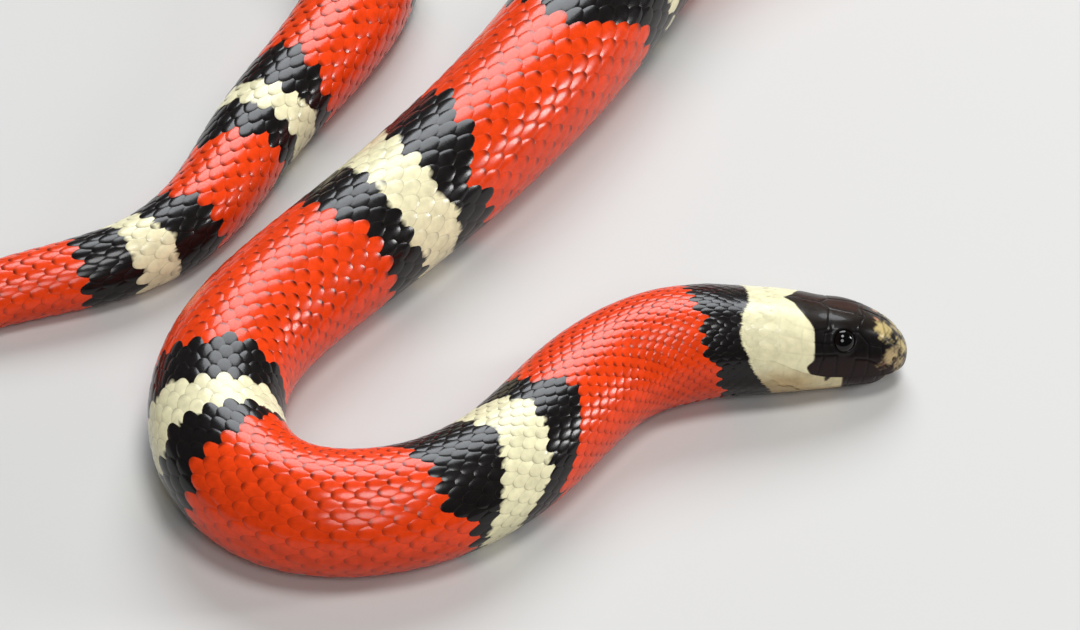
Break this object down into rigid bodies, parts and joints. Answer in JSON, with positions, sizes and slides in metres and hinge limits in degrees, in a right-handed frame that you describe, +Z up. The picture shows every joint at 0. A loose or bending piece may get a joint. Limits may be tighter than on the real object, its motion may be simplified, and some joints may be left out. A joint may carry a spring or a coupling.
{
  "type": "milk snake",
  "caption": "Life-size milk snake lying in long bends on a floor, head on its chin, with a mouth line, eyes and nostrils.",
  "frame": {"origin": "on the floor under the middle of the snake's footprint", "axes": "+Z up, the head points along +X, and the picture is taken looking along +Y from above"},
  "size_m": [0.3032, 0.3071, 0.0219],
  "materials": {
    "scaled_skin": "glossy scales, red with black and cream rings",
    "dark_head_skin": "glossy black head shields",
    "eye": "wet black"
  },
  "bodies": {
    "root": {"head": "dark_head_skin", "lower_jaw": "dark_head_skin", "eye_left": "eye", "eye_right": "eye", "neck": "scaled_skin", "body_01": "scaled_skin", "body_02": "scaled_skin", "body_03": "scaled_skin", "body_04": "scaled_skin", "body_05": "scaled_skin", "body_06": "scaled_skin", "body_07": "scaled_skin", "body_08": "scaled_skin", "body_09": "scaled_skin", "body_10": "scaled_skin", "body_11": "scaled_skin", "body_12": "scaled_skin", "body_13": "scaled_skin", "body_14": "scaled_skin", "body_15": "scaled_skin", "body_16": "scaled_skin", "tail_1": "scaled_skin", "tail_2": "scaled_skin", "tail_3": "scaled_skin", "tail_tip": "scaled_skin"}
  },
  "joints": []
}
